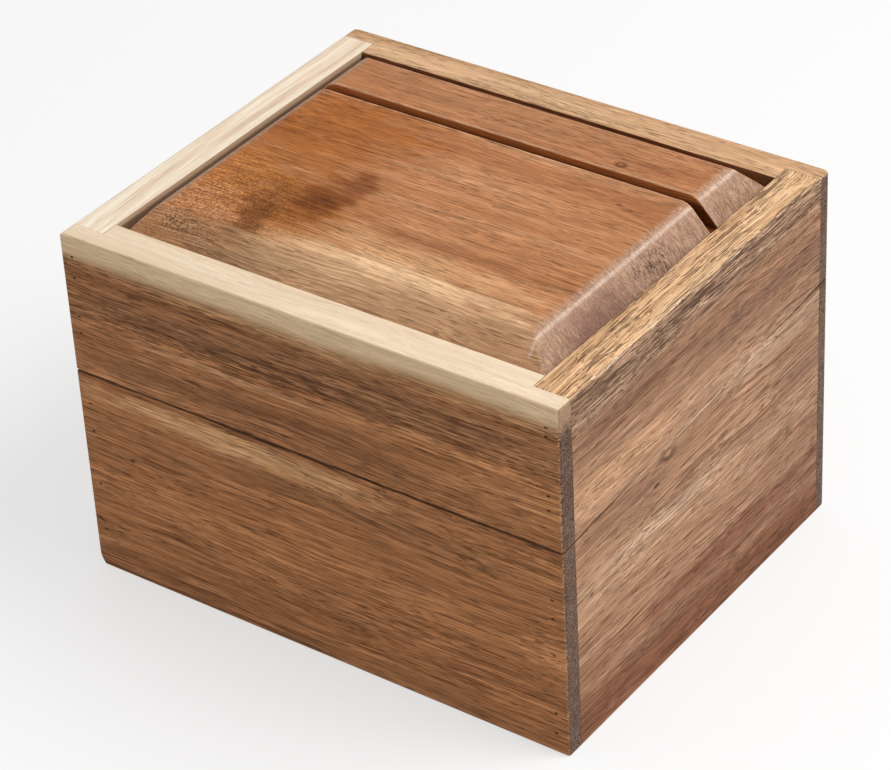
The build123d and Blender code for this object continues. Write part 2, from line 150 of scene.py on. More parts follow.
def make_timber():
    """Figure of a board, from a place in millimetres with X along the grain. Everything is a solid
    pattern drawn out along the grain, so end grain shows the same pores as dots."""
    wanted = (("Place", "Vector"), ("Seed", "Float"), ("Wander", "Float"), ("Openness", "Float"))
    group, given, out = new_group("timber", wanted, ("Bands", "Streaks", "Lines", "Pores", "Fibre"))
    other_board = (37.0, 91.0, 53.0)
    place = vector_calc(group, "ADD", given["Place"], lengthen(group, other_board, given["Seed"]))
    slow = vector_calc(group, "MULTIPLY", place, (0.011, 0.03, 0.03))
    drift = add_node(group, "ShaderNodeTexNoise", {"Vector": slow, "Scale": 1.0, "Detail": 2.0})
    drift = vector_calc(group, "SUBTRACT", drift.outputs["Color"], (0.5, 0.5, 0.5))
    drift = lengthen(group, drift, given["Wander"])
    drift = vector_calc(group, "MULTIPLY", drift, (0.0, 1.0, 1.0))
    place = vector_calc(group, "ADD", place, drift)
    bands = noise(group, place, (0.0045, 0.085, 0.085), 5.0, 0.6)
    group.links.new(stretch(group, bands, 0.28, 0.72), out["Bands"])
    streaks = noise(group, place, (0.011, 0.36, 0.36), 3.0, 0.6)
    group.links.new(stretch(group, streaks, 0.3, 0.7), out["Streaks"])
    ripple = noise(group, place, (0.07, 0.4, 0.4), 2.0)
    ripple = times(group, calc(group, "SUBTRACT", ripple, 0.5), 0.9)
    lifted = add_node(group, "ShaderNodeCombineXYZ", {1: ripple, 2: ripple}).outputs[0]
    waved = vector_calc(group, "ADD", place, lifted)
    broad = noise(group, waved, (0.02, 0.95, 0.95), 1.0)
    narrow = noise(group, waved, (0.03, 2.1, 2.1), 1.0)
    lines = calc(group, "MULTIPLY_ADD", broad, 0.35, times(group, narrow, 0.65))
    lines = stretch(group, lines, 0.39, 0.61)
    ease = noise(group, place, (0.02, 0.09, 0.09), 3.0, 0.6)
    ease = stretch(group, ease, 0.38, 0.6, 0.35, 1.0)
    lines = calc(group, "MULTIPLY_ADD", calc(group, "SUBTRACT", lines, 0.5), ease, 0.5)
    group.links.new(lines, out["Lines"])
    pores = noise(group, waved, (0.12, 2.6, 2.6), 1.5, 0.5)
    crowd = noise(group, place, (0.01, 0.12, 0.12), 2.0)
    limit = calc(group, "SUBTRACT", stretch(group, crowd, 0.35, 0.65, 0.66, 0.57), given["Openness"])
    over = calc(group, "SUBTRACT", pores, limit)
    group.links.new(stretch(group, over, 0.0, 0.035), out["Pores"])
    fibre = noise(group, place, (0.06, 2.7, 2.7), 2.0, 0.7)
    group.links.new(stretch(group, fibre, 0.34, 0.66), out["Fibre"])
    return group


def make_spot():
    """A soft-edged mark round a centre, with a ragged outline. 1 in the middle, 0 outside."""
    wanted = (("Place", "Vector"), ("Centre", "Vector"), ("Reach", "Vector"), ("Ragged", "Float"))
    group, given, out = new_group("spot", wanted, ("Mask",))
    wobble = noise(group, given["Place"], (0.1, 0.22, 0.22), 4.0, 0.5)
    wobble = times(group, calc(group, "SUBTRACT", wobble, 0.5), given["Ragged"])
    away = vector_calc(group, "SUBTRACT", given["Place"], given["Centre"])
    away = vector_calc(group, "LENGTH", vector_calc(group, "DIVIDE", away, given["Reach"]))
    away = calc(group, "ADD", away, wobble)
    group.links.new(stretch(group, away, 1.0, 0.25, smooth=True), out["Mask"])
    return group


def make_edges():
    """How far a place is from the box's outer arrises and from the sawn line, in millimetres."""
    group, given, out = new_group("edges", (("Place", "Vector"),), ("Arris", "Cut"))
    split = add_node(group, "ShaderNodeSeparateXYZ", {0: given["Place"]})
    x, y, z = split.outputs
    from_side = calc(group, "SUBTRACT", half_width, calc(group, "ABSOLUTE", x))
    from_front = calc(group, "SUBTRACT", back_y, calc(group, "ABSOLUTE", y))
    slope = (cut_back - cut_front) / (back_y - front_y)
    cut = calc(group, "MULTIPLY_ADD", y, slope, (cut_back + cut_front) / 2)
    from_cut = calc(group, "ABSOLUTE", calc(group, "SUBTRACT", z, cut))
    from_top = calc(group, "SUBTRACT", box_height, z)
    level = calc(group, "MINIMUM", calc(group, "MINIMUM", from_top, z), from_cut)
    nearest = calc(group, "MINIMUM", from_side, from_front)
    further = calc(group, "MAXIMUM", from_side, from_front)
    second = calc(group, "MAXIMUM", nearest, calc(group, "MINIMUM", further, level))
    group.links.new(second, out["Arris"])
    group.links.new(from_cut, out["Cut"])
    return group


def dress(names, material):
    """Gives the pieces a material in place of the one they came with."""
    for name in names:
        slots = nodes[name].data.materials
        slots.clear()
        slots.append(material)


timber = make_timber()
spot = make_spot()
edges = make_edges()


class Wood:
    """A wooden surface in the making: its figure, and the colour as far as it has got."""

    def __init__(self, name, grain, seed, wander=7.0):
        self.material = bpy.data.materials.new(name)
        self.material.use_nodes = True
        self.tree = self.material.node_tree
        self.tree.nodes.clear()
        coordinates = add_node(self.tree, "ShaderNodeTexCoord")
        self.place = vector_calc(self.tree, "MULTIPLY", coordinates.outputs["Object"], (1 / mm,) * 3)
        split = add_node(self.tree, "ShaderNodeSeparateXYZ", {0: self.place})
        self.x, self.y, self.z = split.outputs
        self.facing = coordinates.outputs["Normal"]
        faces = add_node(self.tree, "ShaderNodeSeparateXYZ", {0: self.facing})
        self.facing_x, self.facing_y, facing_z = faces.outputs
        self.level_face = stretch(self.tree, calc(self.tree, "ABSOLUTE", facing_z), 0.75, 0.95)
        along = self.place
        if grain == "Y":
            turned = {0: self.y, 1: self.x, 2: self.z}
            along = add_node(self.tree, "ShaderNodeCombineXYZ", turned).outputs[0]
        self.along = along
        board = {"Place": along, "Seed": seed, "Wander": wander}
        self.figure = add_node(self.tree, "ShaderNodeGroup", board, node_tree=timber)
        self.bands, self.streaks, self.lines, self.pores, self.fibre = self.figure.outputs
        end = calc(self.tree, "ABSOLUTE", self.facing_x if grain == "X" else self.facing_y)
        self.end_grain = stretch(self.tree, end, 0.55, 0.9)
        near = add_node(self.tree, "ShaderNodeGroup", {"Place": self.place}, node_tree=edges)
        self.arris, self.cut = near.outputs
        # Strength of the painted shade along the saw cut.
        self.seam_shade_strength = 0.85
        self.bare_inside = 0.45

    def upper_face(self):
        """Mask of the rim, the board's level face at the top of the box."""
        at_top = stretch(self.tree, self.z, box_height - 3.0, box_height - 1.0)
        return times(self.tree, self.level_face, at_top)

    def mark(self, centre, reach, ragged):
        """Mask of a mark such as a knot or a stain, with its centre and reach in millimetres."""
        links = {"Place": self.place, "Centre": centre, "Reach": reach, "Ragged": ragged}
        return add_node(self.tree, "ShaderNodeGroup", links, node_tree=spot).outputs[0]

    def tint(self, amount, colour):
        """Lays a colour over the present one, as strongly as the mask says."""
        self.colour = blend_colour(self.tree, amount, self.colour, colour)

    def stain(self, ragged, marks):
        """Lays on the marks one by one, each with its centre, reach, strength and colour."""
        for centre, reach, strength, colour in marks:
            self.tint(times(self.tree, self.mark(centre, reach, ragged), strength), colour)

    def shade(self, light):
        """Makes the colour lighter or darker."""
        self.colour = blend_colour(self.tree, 1.0, self.colour, light, "MULTIPLY")

    def cracks(self, amount, limit, fineness, patches=0.4):
        """Mask of long dark checks in coarse, open grain, closer together in some patches."""
        sway = noise(self.tree, self.along, (0.05, 0.12, 0.12), 2.0)
        sway = times(self.tree, calc(self.tree, "SUBTRACT", sway, 0.5), 4.0)
        sway = add_node(self.tree, "ShaderNodeCombineXYZ", {1: sway, 2: sway}).outputs[0]
        drawn = vector_calc(self.tree, "ADD", self.along, sway)
        gaps = noise(self.tree, drawn, (0.03, fineness, fineness), 2.0, 0.6)
        crowd = noise(self.tree, self.along, (0.025, 0.2, 0.2), 2.0)
        over = calc(self.tree, "MULTIPLY_ADD", calc(self.tree, "SUBTRACT", crowd, 0.5), patches, gaps)
        return times(self.tree, stretch(self.tree, over, limit, limit + 0.04), amount)

    def finish(self, names, pore_depth=0.6, lines=0.8, fibre=0.22, roughness=0.5, relief=0.1, opened=None):
        """Pores, fibre, end grain and handled edges, which all the boards have, then the sheen."""
        tree = self.tree
        inside = vector_calc(tree, "MULTIPLY", self.facing, (1.0, 1.0, 0.0))
        inwards = stretch(tree, vector_calc(tree, "DOT_PRODUCT", inside, self.place), -20.0, -60.0)
        self.tint(times(tree, inwards, self.bare_inside), (0.46, 0.29, 0.17, 1))
        sawn = times(tree, stretch(tree, self.cut, 1.0, 0.4), self.level_face)
        self.tint(times(tree, sawn, 0.5), (0.5, 0.33, 0.2, 1))
        soft = ((0.0, 0.8, 0.77, 0.74), (0.5, 1.0, 1.0, 1.0), (1.0, 1.15, 1.17, 1.19))
        self.shade(colour_steps(tree, self.streaks, soft))
        dark = ((0.0, 0.42, 0.34, 0.28), (0.32, 0.78, 0.75, 0.72))
        light = ((0.6, 1.07, 1.07, 1.07), (1.0, 1.42, 1.46, 1.5))
        hard = colour_steps(tree, self.lines, dark + light)
        self.colour = blend_colour(tree, lines, self.colour, hard, "MULTIPLY")
        self.tint(times(tree, self.pores, pore_depth), (0.055, 0.023, 0.011, 1))
        self.shade(stretch(tree, self.fibre, 0.0, 1.0, 1.0 - fibre, 1.0 + fibre))
        worn = times(tree, stretch(tree, self.arris, 0.7, 0.1), stretch(tree, self.lines, 0.3, 0.8))
        worn = times(tree, worn, stretch(tree, self.cut, 0.8, 1.6))
        self.tint(times(tree, worn, 0.35), (0.74, 0.56, 0.4, 1))
        # Painted shade: a dark line along the saw cut on the outer faces, standing in for the shade in the
        # gap between lid and base.
        seam_shade = times(tree, stretch(tree, self.cut, 0.6, 0.35), calc(tree, "SUBTRACT", 1.0, sawn))
        self.tint(times(tree, seam_shade, self.seam_shade_strength), (0.03, 0.016, 0.01, 1))
        height = calc(tree, "MULTIPLY_ADD", self.pores, -1.0, times(tree, self.fibre, 0.35))
        height = calc(tree, "MULTIPLY_ADD", self.lines, 0.5, height)
        dull = stretch(tree, self.lines, 0.0, 1.0, roughness + 0.08, roughness - 0.06)
        dull = calc(tree, "MULTIPLY_ADD", self.pores, 0.25, dull)
        if opened is not None:
            self.tint(times(tree, opened, 0.8), (0.07, 0.034, 0.02, 1))
            height = calc(tree, "MULTIPLY_ADD", opened, -3.0, height)
        raised = {"Height": height, "Strength": 0.9, "Distance": relief * mm}
        bump = add_node(tree, "ShaderNodeBump", raised)
        oiled = {
            "Base Color": self.colour,
            "Roughness": dull,
            "Normal": bump.outputs[0],
            "Specular IOR Level": 0.09,
        }
        surface = add_node(tree, "ShaderNodeBsdfPrincipled", oiled)
        add_node(tree, "ShaderNodeOutputMaterial", {"Surface": surface.outputs[0]})
        dress(names, self.material)


front = Wood("front_board", "X", 1.0)
tree = front.tree
dark_band_height = 107.0
from_dark_band = calc(tree, "ABSOLUTE", calc(tree, "SUBTRACT", front.z, dark_band_height))
tree.links.new(stretch(tree, from_dark_band, 8.0, 20.0, 0.04, -0.03), front.figure.inputs["Openness"])
front.colour = colour_steps(
    tree,
    front.bands,
    (
        (0.0, 0.25, 0.098, 0.038),
        (0.35, 0.34, 0.143, 0.055),
        (0.65, 0.39, 0.168, 0.066),
        (1.0, 0.48, 0.225, 0.095),
    ),
)
front_marks = (
    ((-26.0, front_y, 69.5), (80.0, 60.0, 6.5), 0.8, (0.57, 0.32, 0.15, 1)),
    ((30.0, front_y, 61.5), (90.0, 60.0, 5.0), 0.6, (0.22, 0.092, 0.036, 1)),
    ((-30.0, front_y, 95.5), (70.0, 60.0, 1.6), 0.6, (0.5, 0.28, 0.14, 1)),
    ((25.0, front_y, 108.0), (120.0, 60.0, 12.0), 0.65, (0.22, 0.1, 0.044, 1)),
    ((-60.0, front_y, 105.0), (50.0, 60.0, 9.0), 0.5, (0.24, 0.11, 0.05, 1)),
    ((-20.0, front_y, 84.0), (130.0, 60.0, 11.0), 0.75, (0.24, 0.1, 0.04, 1)),
    ((-35.0, front_y, 40.0), (70.0, 60.0, 14.0), 0.4, (0.43, 0.18, 0.066, 1)),
    ((-72.5, front_y, 48.0), (1.4, 8.0, 0.6), 0.9, (0.05, 0.024, 0.013, 1)),
)
front.stain(0.9, front_marks)
front.tint(times(tree, stretch(tree, front.z, 14.0, 0.0), 0.35), (0.24, 0.1, 0.042, 1))
wave = noise(tree, front.place, (0.012, 0.05, 0.05), 3.0)
sapwood_depth = calc(tree, "MULTIPLY_ADD", wave, 9.0, 3.0)
under_top = calc(tree, "SUBTRACT", box_height, front.z)
within = calc(tree, "SUBTRACT", sapwood_depth, under_top)
for first, full, strength, colour in (
    (-5.0, 2.0, 0.8, (0.47, 0.29, 0.145, 1)),
    (-1.0, 3.5, 0.85, (0.7, 0.52, 0.33, 1)),
):
    front.tint(times(tree, stretch(tree, within, first, full, smooth=True), strength), colour)
upper_face = front.upper_face()
cream = ((0.0, 0.68, 0.51, 0.34), (0.5, 0.74, 0.58, 0.41), (1.0, 0.79, 0.66, 0.49))
front.tint(upper_face, colour_steps(tree, front.bands, cream))
dark_end = ((0.2, 0.08, 0.045, 0.03), (0.8, 0.165, 0.098, 0.068))
front.tint(front.end_grain, colour_steps(tree, front.fibre, dark_end))
sap_end = times(tree, front.end_grain, stretch(tree, within, -4.0, 1.0))
front.tint(times(tree, sap_end, 0.6), (0.46, 0.3, 0.17, 1))
sapwood = stretch(tree, within, -3.0, 2.0)
front.pores = times(tree, front.pores, stretch(tree, sapwood, 0.0, 1.0, 1.0, 0.25))
calm = calc(tree, "MULTIPLY_ADD", upper_face, 0.14, times(tree, sapwood, 0.72))
front.lines = calmed(tree, calm, front.lines)
front.fibre = calmed(tree, calm, front.fibre)
front.streaks = calmed(tree, times(tree, sapwood, 0.6), front.streaks)
front.finish(("base_front_board", "lid_front_board"), pore_depth=0.65, lines=0.7, fibre=0.4)


# Side boards of base and lid. They end in the rabbets behind the front and back boards, grain from
# front to back. The right one is coarse along its upper edge, with open checks in golden wood. The
# left one has a cream sapwood edge with faint pink streaks.

right = Wood("right_board", "Y", 5.0, 9.0)
tree = right.tree
right.colour = colour_steps(
    tree,
    right.bands,
    (
        (0.0, 0.29, 0.145, 0.08),
        (0.35, 0.38, 0.205, 0.115),
        (0.65, 0.44, 0.25, 0.148),
        (1.0, 0.52, 0.32, 0.2),
    ),
)
right_x = half_width
right_marks = (
    ((right_x, -30.0, 108.5), (60.0, 80.0, 4.0), 0.7, (0.22, 0.11, 0.07, 1)),
    ((right_x, 45.0, 104.0), (60.0, 60.0, 5.0), 0.9, (0.15, 0.073, 0.054, 1)),
    ((right_x, 45.0, 82.0), (60.0, 45.0, 6.0), 0.6, (0.53, 0.35, 0.23, 1)),
    ((right_x, -40.0, 71.0), (60.0, 40.0, 5.0), 0.6, (0.27, 0.14, 0.08, 1)),
    ((right_x, -20.0, 56.0), (60.0, 60.0, 5.0), 0.6, (0.54, 0.36, 0.235, 1)),
    ((right_x, 58.0, 61.8), (60.0, 20.0, 1.4), 0.85, (0.15, 0.07, 0.045, 1)),
    ((right_x, 50.0, 66.0), (60.0, 40.0, 4.0), 0.45, (0.3, 0.16, 0.1, 1)),
    ((right_x, 20.0, 24.0), (60.0, 95.0, 6.5), 0.8, (0.22, 0.08, 0.042, 1)),
    ((right_x, -30.0, 18.0), (60.0, 55.0, 1.6), 0.6, (0.5, 0.32, 0.2, 1)),
    ((right_x, 0.0, 6.0), (60.0, 110.0, 8.0), 0.75, (0.2, 0.09, 0.052, 1)),
    ((right_x, -19.5, 77.4), (20.0, 6.5, 3.6), 1.0, (0.1, 0.045, 0.028, 1)),
    ((right_x, -19.3, 77.8), (20.0, 3.4, 1.7), 0.9, (0.42, 0.23, 0.13, 1)),
    ((right_x, 60.0, 52.0), (60.0, 40.0, 70.0), 0.35, (0.25, 0.13, 0.075, 1)),
    ((right_x, -26.0, 70.0), (20.0, 2.6, 0.9), 0.95, (0.055, 0.026, 0.017, 1)),
    ((right_x, -62.0, 52.6), (20.0, 1.6, 0.8), 0.8, (0.1, 0.05, 0.032, 1)),
)
right.stain(0.9, right_marks)
lower = stretch(tree, calc(tree, "MULTIPLY_ADD", right.bands, 12.0, right.z), 46.0, 18.0)
right.tint(times(tree, lower, 0.88), (0.185, 0.066, 0.026, 1))
right.tint(times(tree, stretch(tree, right.z, 90.0, 98.0), 0.6), (0.25, 0.12, 0.062, 1))
warm_patch = ((right_x, -48.0, 90.0), (60.0, 50.0, 9.0), 0.7, (0.5, 0.28, 0.145, 1))
right.stain(0.9, (warm_patch,))
near_top = noise(tree, right.place, (0.05, 0.02, 0.05), 3.0)
near_top = calc(tree, "MULTIPLY_ADD", near_top, 10.0, calc(tree, "SUBTRACT", right.z, box_height + 5.0))
near_top = calc(tree, "MULTIPLY_ADD", right.y, -0.03, near_top)
coarse_edge = stretch(tree, near_top, -14.0, -7.0, smooth=True)
right.tint(times(tree, coarse_edge, 0.8), (0.43, 0.265, 0.165, 1))
golden = ((0.0, 0.62, 0.35, 0.175), (0.5, 0.77, 0.5, 0.285), (1.0, 0.87, 0.65, 0.43))
upper_face = right.upper_face()
right.tint(upper_face, colour_steps(tree, right.bands, golden))
right.pores = times(tree, right.pores, stretch(tree, upper_face, 0.0, 1.0, 1.0, 0.2))
rim_checks = right.cracks(upper_face, 0.66, 2.2)
edge_checks = right.cracks(times(tree, coarse_edge, 0.9), 0.56, 2.0, 0.25)
checks = calc(tree, "MAXIMUM", rim_checks, edge_checks)
tree.links.new(times(tree, coarse_edge, 0.05), right.figure.inputs["Openness"])
coarse_lines = stretch(tree, coarse_edge, 0.0, 1.0, 0.65, 1.0)
coarse_lines = times(tree, coarse_lines, stretch(tree, upper_face, 0.0, 1.0, 1.0, 0.5))
# The painted shade along the saw cut is weak in the middle of the right side.
along_seam = calc(tree, "ABSOLUTE", calc(tree, "ADD", right.y, -5.0))
right.seam_shade_strength = stretch(tree, along_seam, 30.0, 60.0, 0.1, 0.8)
chips = noise(tree, right.place, (0.8, 0.12, 0.8), 3.0, 0.7)
chips = times(tree, stretch(tree, chips, 0.48, 0.6), stretch(tree, right.arris, 1.0, 0.3))
chips = times(tree, chips, stretch(tree, right.z, box_height - 4.0, box_height - 2.0))
right.tint(times(tree, chips, 0.7), (0.8, 0.62, 0.47, 1))
# Painted highlight on the lower arris of the saw cut, where the seam's painted shade is weak.
unshaded_seam = stretch(tree, right.seam_shade_strength, 0.8, 0.1)
lit_arris = times(tree, stretch(tree, right.cut, 0.9, 0.6), stretch(tree, right.facing_x, 0.5, 0.9))
lit_arris = times(tree, lit_arris, unshaded_seam)
right.tint(times(tree, lit_arris, 0.55), (0.82, 0.64, 0.48, 1))
right.finish(
    ("base_right_board", "lid_right_board"),
    lines=coarse_lines,
    fibre=0.3,
    relief=0.14,
    opened=checks,
)

left = Wood("left_board", "Y", 9.0)
tree = left.tree
left.colour = colour_steps(
    tree,
    left.bands,
    (
        (0.0, 0.27, 0.13, 0.065),
        (0.35, 0.36, 0.19, 0.1),
        (0.65, 0.43, 0.245, 0.135),
        (1.0, 0.53, 0.335, 0.2),
    ),
)
wave = noise(tree, left.place, (0.05, 0.012, 0.05), 3.0)
under_top = calc(tree, "SUBTRACT", box_height, left.z)
within = calc(tree, "SUBTRACT", calc(tree, "MULTIPLY_ADD", wave, 14.0, 12.0), under_top)
left.tint(times(tree, stretch(tree, within, -8.0, 4.0, smooth=True), 0.85), (0.6, 0.43, 0.26, 1))
upper_face = left.upper_face()
cream = ((0.0, 0.7, 0.53, 0.39), (0.3, 0.77, 0.62, 0.47), (0.6, 0.81, 0.69, 0.53), (1.0, 0.84, 0.74, 0.6))
left.tint(upper_face, colour_steps(tree, left.streaks, cream))
inner_wall = times(tree, stretch(tree, left.facing_x, 0.4, 0.9), stretch(tree, under_top, 7.0, 5.0))
left.tint(times(tree, inner_wall, 0.9), (0.5, 0.36, 0.24, 1))
# Painted shadow: a dark band low on the inner wall, in the gap beside the raised panel.
shadow_beside_panel = times(tree, inner_wall, stretch(tree, under_top, 1.2, 2.2, 0.0, 0.85))
left.tint(shadow_beside_panel, (0.14, 0.075, 0.042, 1))
left.bare_inside = stretch(tree, inner_wall, 0.0, 1.0, 0.45, 0.0)
sapwood = stretch(tree, within, -3.0, 2.0)
left.lines = calmed(tree, times(tree, sapwood, 0.78), left.lines)
left.pores = times(tree, left.pores, stretch(tree, sapwood, 0.0, 1.0, 1.0, 0.15))
left.streaks = calmed(tree, times(tree, sapwood, 0.7), left.streaks)
left.fibre = calmed(tree, times(tree, sapwood, 0.75), left.fibre)
left.finish(("base_left_board", "lid_left_board"))


# Back boards of base and lid, plain brown boards with the hinges let into their sawn edges. Their
# rounded upright corners show dark end grain beside the side boards.

back = Wood("back_board", "X", 13.0)
tree = back.tree
back.colour = colour_steps(
    tree,
    back.bands,
    (
        (0.0, 0.27, 0.12, 0.055),
        (0.35, 0.36, 0.175, 0.083),
        (0.65, 0.42, 0.22, 0.11),
        (1.0, 0.52, 0.31, 0.17),
    ),
)
tan = ((0.0, 0.46, 0.26, 0.13), (0.5, 0.54, 0.32, 0.17), (1.0, 0.62, 0.4, 0.23))
upper_face = back.upper_face()
back.tint(upper_face, colour_steps(tree, back.bands, tan))
dark_end = ((0.2, 0.09, 0.052, 0.035), (0.8, 0.175, 0.105, 0.073))
back.tint(back.end_grain, colour_steps(tree, back.fibre, dark_end))
back.lines = calmed(tree, times(tree, upper_face, 0.5), back.lines)
# Painted shade: the inner face of the back board, above the raised panel, is made dark brown.
shade_above_panel = stretch(tree, back.z, box_height - 12.0, box_height - 10.0)
shade_above_panel = times(tree, stretch(tree, back.facing_y, -0.4, -0.9), shade_above_panel)
back.tint(times(tree, shade_above_panel, 0.85), (0.15, 0.066, 0.03, 1))
back.bare_inside = stretch(tree, shade_above_panel, 0.0, 1.0, 0.45, 0.0)
back.finish(("base_back_board", "lid_back_board"))


# Bottom panel, a plain board let into the walls from below and held by brads. It is sanded but
# hardly oiled, so it stays pale and dull.

bottom = Wood("bottom_panel", "X", 17.0)
bottom.colour = colour_steps(
    bottom.tree,
    bottom.bands,
    ((0.0, 0.36, 0.21, 0.115), (0.4, 0.46, 0.28, 0.16), (0.7, 0.53, 0.34, 0.2), (1.0, 0.6, 0.41, 0.26)),
)
bottom.finish(("base_bottom_panel",), pore_depth=0.5, lines=0.5, roughness=0.62)


# Raised panel of the lid, orange-red heartwood with the grain from side to side. A knot grew at its
# left end, and the end bevels cut across the grain, so they are fuzzy, grey and paler. The slot for
# a card is sawn across it; its walls carry painted light near the top and painted shade, darker
# towards the bottom. Painted highlights lie along the slot's edges and the right shoulder's crease.

panel_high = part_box("lid_raised_panel")[1] / mm
field_top = panel_high.z
slot_from_back = 44.8
slot_middle = back_y - slot_from_back
slot_half_width = 2.0
slot_depth = 9.8
shoulder_from_edge = 14.8
panel = Wood("raised_panel", "X", 22.0, 9.0)
tree = panel.tree
panel.colour = colour_steps(
    tree,
    panel.bands,
    (
        (0.0, 0.32, 0.113, 0.041),
        (0.35, 0.385, 0.153, 0.06),
        (0.65, 0.43, 0.188, 0.08),
        (1.0, 0.51, 0.26, 0.125),
    ),
)
panel_marks = (
    ((-52.0, 10.0, field_top), (55.0, 38.0, 30.0), 0.95, (0.34, 0.106, 0.018, 1)),
    ((-62.0, -24.0, field_top), (24.0, 26.0, 30.0), 0.8, (0.4, 0.14, 0.028, 1)),
    ((20.0, 0.0, field_top), (60.0, 22.0, 30.0), 0.35, (0.45, 0.19, 0.078, 1)),
    ((30.0, -8.0, field_top), (60.0, 3.0, 30.0), 0.4, (0.33, 0.13, 0.05, 1)),
    ((-10.0, 46.0, field_top), (95.0, 16.0, 30.0), 0.7, (0.43, 0.2, 0.088, 1)),
    ((32.0, -30.5, field_top), (52.0, 4.5, 30.0), 0.7, (0.27, 0.1, 0.034, 1)),
    ((22.0, -40.5, field_top), (72.0, 7.5, 30.0), 0.8, (0.58, 0.31, 0.15, 1)),
    ((25.0, -45.5, field_top), (46.0, 0.9, 30.0), 0.5, (0.34, 0.15, 0.06, 1)),
    ((18.0, -50.5, field_top), (80.0, 8.0, 30.0), 0.95, (0.72, 0.46, 0.26, 1)),
    ((50.0, -45.2, field_top), (24.0, 0.8, 30.0), 0.7, (0.3, 0.14, 0.06, 1)),
    ((-11.0, -36.0, field_top), (13.0, 7.0, 30.0), 0.5, (0.54, 0.28, 0.135, 1)),
    ((-54.0, -43.0, field_top), (13.0, 8.0, 30.0), 0.55, (0.46, 0.21, 0.085, 1)),
    ((-33.0, -33.0, field_top), (30.0, 28.0, 30.0), 0.85, (0.31, 0.1, 0.012, 1)),
    ((-22.5, -17.0, field_top), (8.0, 16.0, 30.0), 0.8, (0.19, 0.05, 0.009, 1)),
    ((-27.5, -28.0, field_top), (12.0, 15.0, 30.0), 0.85, (0.16, 0.04, 0.001, 1)),
    ((-42.0, -36.0, field_top), (8.0, 12.0, 30.0), 0.65, (0.2, 0.062, 0.013, 1)),
    ((-39.0, -45.0, field_top), (9.0, 11.0, 30.0), 0.85, (0.16, 0.045, 0.002, 1)),
    ((-38.0, -53.0, field_top), (9.0, 8.0, 30.0), 0.8, (0.18, 0.06, 0.014, 1)),
    ((-32.0, -60.0, field_top), (15.0, 6.0, 30.0), 0.8, (0.15, 0.065, 0.026, 1)),
    ((-50.0, -59.0, field_top), (20.0, 5.0, 30.0), 0.6, (0.22, 0.12, 0.065, 1)),
    ((40.0, 37.2, field_top), (3.0, 2.1, 30.0), 0.95, (0.09, 0.028, 0.009, 1)),
    ((39.8, 37.5, field_top), (1.5, 0.9, 30.0), 0.9, (0.3, 0.12, 0.045, 1)),
    ((52.4, 17.0, field_top), (2.4, 0.9, 30.0), 0.9, (0.11, 0.036, 0.012, 1)),
)
panel.stain(1.1, panel_marks)
specks = noise(tree, panel.place, (1.1, 1.5, 1.1), 2.0, 0.75)
torn_out = stretch(tree, specks, 0.5, 0.42)
speckled = ((0.36, 0.42, 0.34, 0.26), (0.5, 1.0, 0.98, 0.92), (0.64, 1.6, 1.75, 1.8))
specks = colour_steps(tree, specks, speckled)
rough = panel.mark((-58.0, -42.0, field_top), (46.0, 34.0, 30.0), 1.0)
panel.colour = blend_colour(tree, times(tree, rough, 0.85), panel.colour, specks, "MULTIPLY")
torn_place = panel.mark((-61.0, -56.0, field_top), (11.0, 3.6, 30.0), 1.2)
panel.tint(times(tree, torn_place, torn_out), (0.045, 0.024, 0.014, 1))
front_bevel = stretch(tree, panel.facing_y, -0.2, -0.5)
front_bevel = times(tree, front_bevel, stretch(tree, panel.x, -50.0, -25.0, 0.25, 0.85))
tan = ((0.0, 0.45, 0.25, 0.125), (0.5, 0.56, 0.33, 0.175), (1.0, 0.64, 0.41, 0.235))
panel.tint(front_bevel, colour_steps(tree, panel.bands, tan))
side_bevel = stretch(tree, calc(tree, "ABSOLUTE", panel.facing_x), 0.1, 0.5)
fuzz = noise(tree, panel.place, (0.35, 1.1, 0.35), 5.0, 0.7)
fuzzy = ((0.36, 0.22, 0.125, 0.082), (0.5, 0.345, 0.215, 0.145), (0.64, 0.48, 0.325, 0.235))
panel.tint(times(tree, side_bevel, 0.85), colour_steps(tree, fuzz, fuzzy))
end_pores = noise(tree, panel.place, (0.45, 1.7, 0.45), 2.0, 0.6)
umber = panel.mark((76.0, -30.0, field_top - 8.0), (14.0, 24.0, 14.0), 1.4)
panel.tint(times(tree, times(tree, umber, side_bevel), 0.75), (0.21, 0.105, 0.08, 1))
torn = panel.mark((72.0, 2.0, field_top - 4.0), (14.0, 16.0, 14.0), 1.0)
end_pores = times(tree, stretch(tree, end_pores, 0.53, 0.57), times(tree, torn, side_bevel))
panel.tint(times(tree, end_pores, 0.9), (0.075, 0.04, 0.028, 1))
# Painted highlight on the right shoulder: a bright line along its crease, where the field rounds over into
# the end bevel, and a softer painted glow on the shoulder beside it.
crease_x = calc(tree, "ABSOLUTE", calc(tree, "SUBTRACT", panel.x, panel_high.x - shoulder_from_edge))
crease_highlight_and_wear = times(tree, stretch(tree, crease_x, 0.75, 0.15), stretch(tree, fuzz, 0.4, 0.6, 0.5, 1.0))
near_field = stretch(tree, panel.z, field_top - 6.0, field_top - 5.0)
crease_highlight_and_wear = times(tree, crease_highlight_and_wear, near_field)
shoulder_highlight = times(tree, stretch(tree, crease_x, 3.2, 0.5), near_field)
panel.tint(times(tree, shoulder_highlight, 0.35), (0.5, 0.32, 0.22, 1))
panel.tint(times(tree, crease_highlight_and_wear, 0.6), (0.74, 0.58, 0.48, 1))
